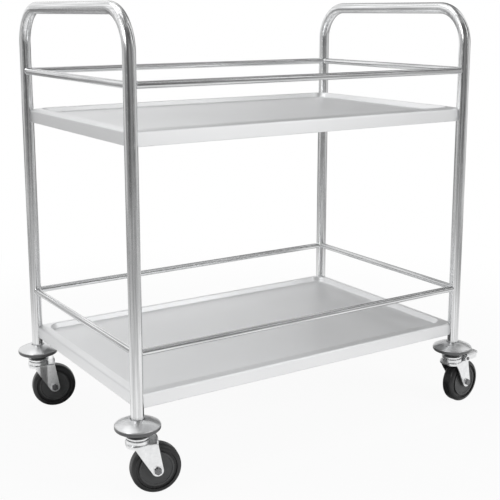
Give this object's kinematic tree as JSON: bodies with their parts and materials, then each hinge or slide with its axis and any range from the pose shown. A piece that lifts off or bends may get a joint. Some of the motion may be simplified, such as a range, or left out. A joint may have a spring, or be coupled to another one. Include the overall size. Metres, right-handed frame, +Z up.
{
  "type": "serving trolley",
  "caption": "Bent-tube serving trolley with pan shelves inside guard rails, handle bars at the ends, round bumpers and swivel casters, some with a foot brake.",
  "frame": {"origin": "on the floor, in the middle of the four posts", "axes": "+X along the shelves towards the braked end, +Y towards the back, +Z up"},
  "size_m": [0.9528, 0.6046, 0.935],
  "materials": {
    "polished_tube": "polished stainless steel",
    "stainless_sheet": "satin stainless steel",
    "zinc_plate": "bright zinc plate on pressed steel",
    "fastener_steel": "plain steel",
    "bumper_plastic": "smooth light grey plastic",
    "wheel_plastic": "dark grey moulded plastic",
    "tyre_rubber": "dark grey solid rubber",
    "shoe_rubber": "black rubber"
  },
  "bodies": {
    "frame": {"left_end_frame": "polished_tube", "right_end_frame": "polished_tube", "upper_shelf": "stainless_sheet", "upper_front_rail": "polished_tube", "upper_back_rail": "polished_tube", "upper_left_rail": "polished_tube", "upper_right_rail": "polished_tube", "lower_shelf": "stainless_sheet", "lower_front_rail": "polished_tube", "lower_back_rail": "polished_tube", "lower_left_rail": "polished_tube", "lower_right_rail": "polished_tube", "shelf_screws": "fastener_steel", "stem_sockets": "fastener_steel", "front_left_bumper": "bumper_plastic", "front_left_stem": "fastener_steel", "front_left_swivel_plate": "zinc_plate", "back_left_bumper": "bumper_plastic", "back_left_stem": "fastener_steel", "back_left_swivel_plate": "zinc_plate", "front_right_bumper": "bumper_plastic", "front_right_stem": "fastener_steel", "front_right_swivel_plate": "zinc_plate", "back_right_bumper": "bumper_plastic", "back_right_stem": "fastener_steel", "back_right_swivel_plate": "zinc_plate"},
    "front_left_fork": {"front_left_fork": "zinc_plate", "front_left_axle_bolt": "fastener_steel", "front_left_axle_nut": "fastener_steel", "front_left_axle_sleeve": "fastener_steel", "front_left_swivel_balls": "fastener_steel"},
    "front_left_wheel": {"front_left_wheel_hub": "wheel_plastic", "front_left_tyre": "tyre_rubber"},
    "back_left_fork": {"back_left_fork": "zinc_plate", "back_left_axle_bolt": "fastener_steel", "back_left_axle_nut": "fastener_steel", "back_left_axle_sleeve": "fastener_steel", "back_left_swivel_balls": "fastener_steel"},
    "back_left_wheel": {"back_left_wheel_hub": "wheel_plastic", "back_left_tyre": "tyre_rubber"},
    "front_right_fork": {"front_right_fork": "zinc_plate", "front_right_axle_bolt": "fastener_steel", "front_right_axle_nut": "fastener_steel", "front_right_axle_sleeve": "fastener_steel", "front_right_swivel_balls": "fastener_steel", "front_right_brake_pin": "fastener_steel"},
    "front_right_wheel": {"front_right_wheel_hub": "wheel_plastic", "front_right_tyre": "tyre_rubber"},
    "front_right_pedal": {"front_right_brake_pedal": "zinc_plate", "front_right_brake_shoe": "shoe_rubber"},
    "back_right_fork": {"back_right_fork": "zinc_plate", "back_right_axle_bolt": "fastener_steel", "back_right_axle_nut": "fastener_steel", "back_right_axle_sleeve": "fastener_steel", "back_right_swivel_balls": "fastener_steel", "back_right_brake_pin": "fastener_steel"},
    "back_right_wheel": {"back_right_wheel_hub": "wheel_plastic", "back_right_tyre": "tyre_rubber"},
    "back_right_pedal": {"back_right_brake_pedal": "zinc_plate", "back_right_brake_shoe": "shoe_rubber"}
  },
  "joints": [
    {"name": "front_left_swivel", "type": "hinge", "parent": "frame", "child": "front_left_fork", "pos_m": [-0.4123, -0.2573, 0.05], "axis": [0, 0, 1], "continuous": true},
    {"name": "front_left_wheel_spin", "type": "hinge", "parent": "front_left_fork", "child": "front_left_wheel", "pos_m": [-0.38028, -0.26528, 0.05], "axis": [0.2419, 0.9703, 0], "continuous": true},
    {"name": "back_left_swivel", "type": "hinge", "parent": "frame", "child": "back_left_fork", "pos_m": [-0.4123, 0.2573, 0.05], "axis": [0, 0, 1], "continuous": true},
    {"name": "back_left_wheel_spin", "type": "hinge", "parent": "back_left_fork", "child": "back_left_wheel", "pos_m": [-0.38042, 0.24876, 0.05], "axis": [0.2588, 0.9659, 0], "continuous": true},
    {"name": "front_right_swivel", "type": "hinge", "parent": "frame", "child": "front_right_fork", "pos_m": [0.4123, -0.2573, 0.05], "axis": [0, 0, 1], "continuous": true},
    {"name": "front_right_wheel_spin", "type": "hinge", "parent": "front_right_fork", "child": "front_right_wheel", "pos_m": [0.44505, -0.25328, 0.05], "axis": [-0.1219, 0.9925, 0], "continuous": true},
    {"name": "front_right_brake_press", "type": "hinge", "parent": "front_right_fork", "child": "front_right_pedal", "pos_m": [0.44208, -0.25364, 0.1095], "axis": [-0.1219, 0.9925, 0], "range_deg": [0, 16]},
    {"name": "back_right_swivel", "type": "hinge", "parent": "frame", "child": "back_right_fork", "pos_m": [0.4123, 0.2573, 0.05], "axis": [0, 0, 1], "continuous": true},
    {"name": "back_right_wheel_spin", "type": "hinge", "parent": "back_right_fork", "child": "back_right_wheel", "pos_m": [0.44498, 0.26189, 0.05], "axis": [-0.1392, 0.9903, 0], "continuous": true},
    {"name": "back_right_brake_press", "type": "hinge", "parent": "back_right_fork", "child": "back_right_pedal", "pos_m": [0.44201, 0.26148, 0.1095], "axis": [-0.1392, 0.9903, 0], "range_deg": [0, 16]}
  ]
}
